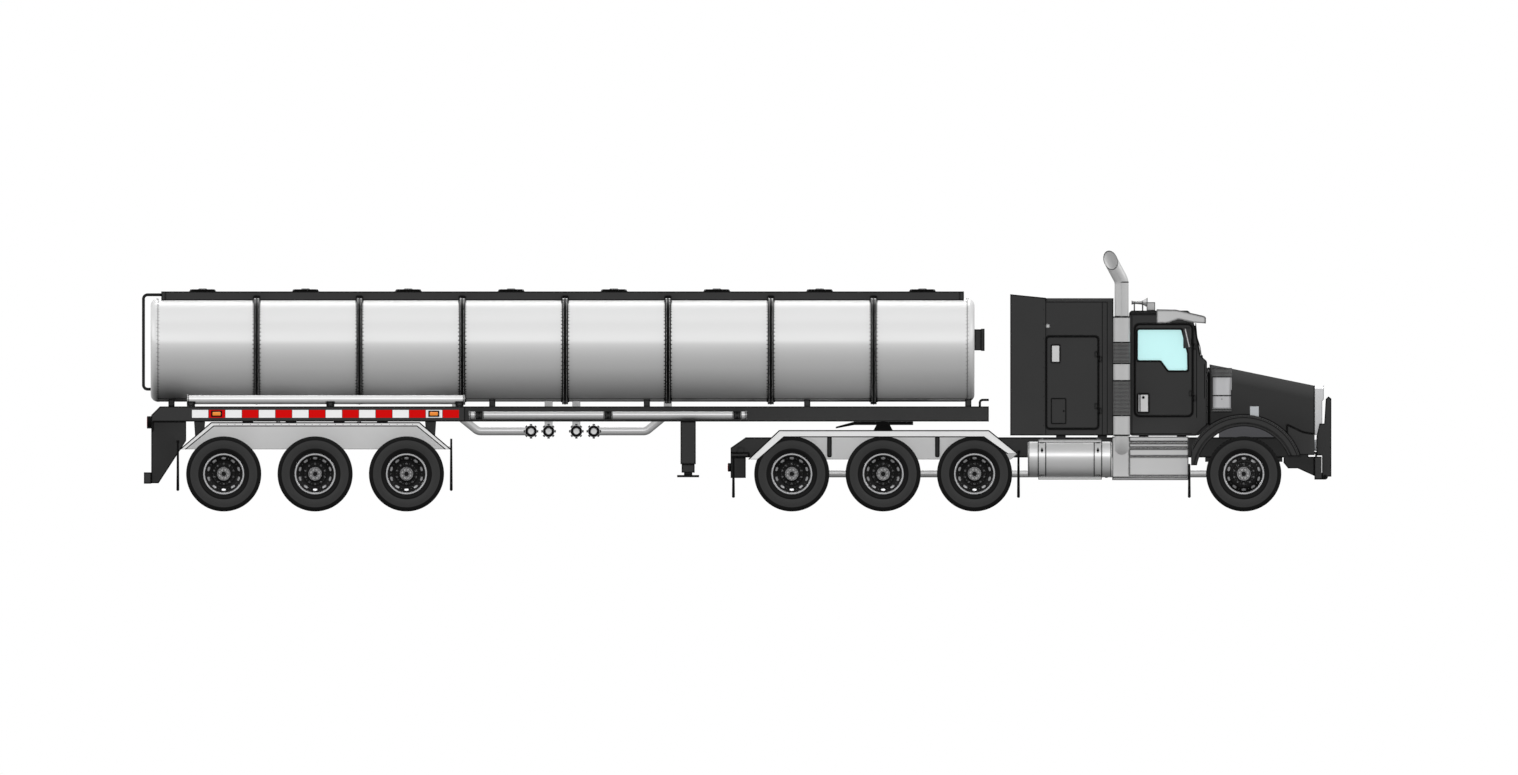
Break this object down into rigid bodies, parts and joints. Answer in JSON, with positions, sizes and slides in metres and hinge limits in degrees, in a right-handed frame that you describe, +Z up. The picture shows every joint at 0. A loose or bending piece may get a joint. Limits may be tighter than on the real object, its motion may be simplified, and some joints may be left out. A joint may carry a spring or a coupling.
{
  "type": "articulated tanker truck",
  "caption": "Long-nosed sleeper tractor coupled to an oval tank semi-trailer, with twin stacks, ringed tank, capped side outlets and a striped rear rail.",
  "frame": {"origin": "on the road under the middle of the truck", "axes": "+X forward, +Y to the truck's left, +Z up"},
  "size_m": [17.246, 2.59, 3.783],
  "materials": {
    "dark_paint": "dark grey paint",
    "light_panel": "light grey paint",
    "tank_metal": "polished aluminium",
    "bright_metal": "bright plated steel",
    "tyre": "tyre rubber",
    "flap_rubber": "black rubber sheet",
    "glass": "pale cyan glass",
    "lamp_lens": "clear lamp lens",
    "amber_lens": "amber lamp lens",
    "engine_grey": "cast engine grey",
    "dark_trim": "dark cab trim"
  },
  "bodies": {
    "tractor": {"tractor_frame": "dark_paint", "steer_axle": "dark_paint", "drive_axles": "dark_paint", "engine": "engine_grey", "fifth_wheel": "dark_paint", "fuel_tanks": "tank_metal", "step_boxes": "light_panel", "exhaust_stacks": "bright_metal", "cab_shell": "dark_paint", "cab_glass": "glass", "cab_interior": "dark_trim", "sleeper_shell": "dark_paint", "sun_visor": "light_panel", "roof_horns": "bright_metal", "front_bumper": "dark_paint", "drive_fenders": "light_panel", "tractor_mud_flaps": "flap_rubber"},
    "trailer": {"tank": "tank_metal", "manhole_covers": "tank_metal", "top_rails": "dark_paint", "trailer_frame": "dark_paint", "trailer_fenders": "light_panel", "trailer_mud_flaps": "flap_rubber", "trailer_axles": "dark_paint", "hose_tubes": "tank_metal", "discharge_pipes": "tank_metal", "landing_gear": "dark_paint", "front_box": "dark_paint", "trailer_lamps": "amber_lens"},
    "hood_body": {"hood": "dark_paint", "grille": "bright_metal", "headlamps": "lamp_lens", "air_cleaners": "bright_metal"},
    "guard_body": {"grille_guard": "dark_paint"},
    "knuckle_body_left": {"knuckle_left": "dark_paint"},
    "cab_door_left": {"door_left": "dark_paint", "door_glass_left": "glass", "mirror_left": "bright_metal"},
    "side_door_left": {"sleeper_door_left": "dark_paint"},
    "knuckle_body_right": {"knuckle_right": "dark_paint"},
    "cab_door_right": {"door_right": "dark_paint", "door_glass_right": "glass", "mirror_right": "bright_metal"},
    "side_door_right": {"sleeper_door_right": "dark_paint"},
    "steer_roll_left": {"steer_wheel_left": "tyre"},
    "drive_roll_1_left": {"drive_wheel_1_left": "tyre"},
    "trailer_roll_1_left": {"trailer_wheel_1_left": "tyre"},
    "drive_roll_2_left": {"drive_wheel_2_left": "tyre"},
    "trailer_roll_2_left": {"trailer_wheel_2_left": "tyre"},
    "drive_roll_3_left": {"drive_wheel_3_left": "tyre"},
    "trailer_roll_3_left": {"trailer_wheel_3_left": "tyre"},
    "steer_roll_right": {"steer_wheel_right": "tyre"},
    "drive_roll_1_right": {"drive_wheel_1_right": "tyre"},
    "trailer_roll_1_right": {"trailer_wheel_1_right": "tyre"},
    "drive_roll_2_right": {"drive_wheel_2_right": "tyre"},
    "trailer_roll_2_right": {"trailer_wheel_2_right": "tyre"},
    "drive_roll_3_right": {"drive_wheel_3_right": "tyre"},
    "trailer_roll_3_right": {"trailer_wheel_3_right": "tyre"}
  },
  "joints": [
    {"name": "trailer_yaw", "type": "hinge", "parent": "tractor", "child": "trailer", "pos_m": [2.123, 0, 1.3037], "axis": [0, 0, 1], "range_deg": [-90, 90]},
    {"name": "hood_tilt", "type": "hinge", "parent": "tractor", "child": "hood_body", "pos_m": [8.4, 0, 0.85], "axis": [0, 1, 0], "range_deg": [0, 60]},
    {"name": "guard_fold", "type": "hinge", "parent": "tractor", "child": "guard_body", "pos_m": [8.53, 0, 0.505], "axis": [0, 1, 0], "range_deg": [0, 78]},
    {"name": "steering_left", "type": "hinge", "parent": "tractor", "child": "knuckle_body_left", "pos_m": [7.352, 0.86, 0.545], "axis": [0, 0, 1], "range_deg": [-38, 38]},
    {"name": "cab_door_left", "type": "hinge", "parent": "tractor", "child": "cab_door_left", "pos_m": [6.611, 0.91, 2.05], "axis": [0, 0, -1], "range_deg": [0, 70]},
    {"name": "side_door_left", "type": "hinge", "parent": "tractor", "child": "side_door_left", "pos_m": [5.244, 1.075, 1.87], "axis": [0, 0, -1], "range_deg": [0, 80]},
    {"name": "steering_right", "type": "hinge", "parent": "tractor", "child": "knuckle_body_right", "pos_m": [7.352, -0.86, 0.545], "axis": [0, 0, 1], "range_deg": [-38, 38]},
    {"name": "cab_door_right", "type": "hinge", "parent": "tractor", "child": "cab_door_right", "pos_m": [6.611, -0.91, 2.05], "axis": [0, 0, 1], "range_deg": [0, 70]},
    {"name": "side_door_right", "type": "hinge", "parent": "tractor", "child": "side_door_right", "pos_m": [5.244, -1.075, 1.87], "axis": [0, 0, 1], "range_deg": [0, 80]},
    {"name": "steer_spin_left", "type": "hinge", "parent": "knuckle_body_left", "child": "steer_roll_left", "pos_m": [7.352, 1.035, 0.545], "axis": [0, 1, 0], "continuous": true},
    {"name": "drive_spin_1_left", "type": "hinge", "parent": "tractor", "child": "drive_roll_1_left", "pos_m": [0.798, 0.925, 0.545], "axis": [0, 1, 0], "continuous": true},
    {"name": "trailer_spin_1_left", "type": "hinge", "parent": "trailer", "child": "trailer_roll_1_left", "pos_m": [-7.439, 0.975, 0.545], "axis": [0, 1, 0], "continuous": true},
    {"name": "drive_spin_2_left", "type": "hinge", "parent": "tractor", "child": "drive_roll_2_left", "pos_m": [2.123, 0.925, 0.545], "axis": [0, 1, 0], "continuous": true},
    {"name": "trailer_spin_2_left", "type": "hinge", "parent": "trailer", "child": "trailer_roll_2_left", "pos_m": [-6.114, 0.975, 0.545], "axis": [0, 1, 0], "continuous": true},
    {"name": "drive_spin_3_left", "type": "hinge", "parent": "tractor", "child": "drive_roll_3_left", "pos_m": [3.448, 0.925, 0.545], "axis": [0, 1, 0], "continuous": true},
    {"name": "trailer_spin_3_left", "type": "hinge", "parent": "trailer", "child": "trailer_roll_3_left", "pos_m": [-4.789, 0.975, 0.545], "axis": [0, 1, 0], "continuous": true},
    {"name": "steer_spin_right", "type": "hinge", "parent": "knuckle_body_right", "child": "steer_roll_right", "pos_m": [7.352, -1.035, 0.545], "axis": [0, 1, 0], "continuous": true},
    {"name": "drive_spin_1_right", "type": "hinge", "parent": "tractor", "child": "drive_roll_1_right", "pos_m": [0.798, -0.925, 0.545], "axis": [0, 1, 0], "continuous": true},
    {"name": "trailer_spin_1_right", "type": "hinge", "parent": "trailer", "child": "trailer_roll_1_right", "pos_m": [-7.439, -0.975, 0.545], "axis": [0, 1, 0], "continuous": true},
    {"name": "drive_spin_2_right", "type": "hinge", "parent": "tractor", "child": "drive_roll_2_right", "pos_m": [2.123, -0.925, 0.545], "axis": [0, 1, 0], "continuous": true},
    {"name": "trailer_spin_2_right", "type": "hinge", "parent": "trailer", "child": "trailer_roll_2_right", "pos_m": [-6.114, -0.975, 0.545], "axis": [0, 1, 0], "continuous": true},
    {"name": "drive_spin_3_right", "type": "hinge", "parent": "tractor", "child": "drive_roll_3_right", "pos_m": [3.448, -0.925, 0.545], "axis": [0, 1, 0], "continuous": true},
    {"name": "trailer_spin_3_right", "type": "hinge", "parent": "trailer", "child": "trailer_roll_3_right", "pos_m": [-4.789, -0.975, 0.545], "axis": [0, 1, 0], "continuous": true}
  ],
  "couplings": [
    {"joint": "guard_fold", "follows": "hood_tilt", "ratio": 1.3},
    {"joint": "steering_right", "follows": "steering_left", "ratio": 1}
  ]
}
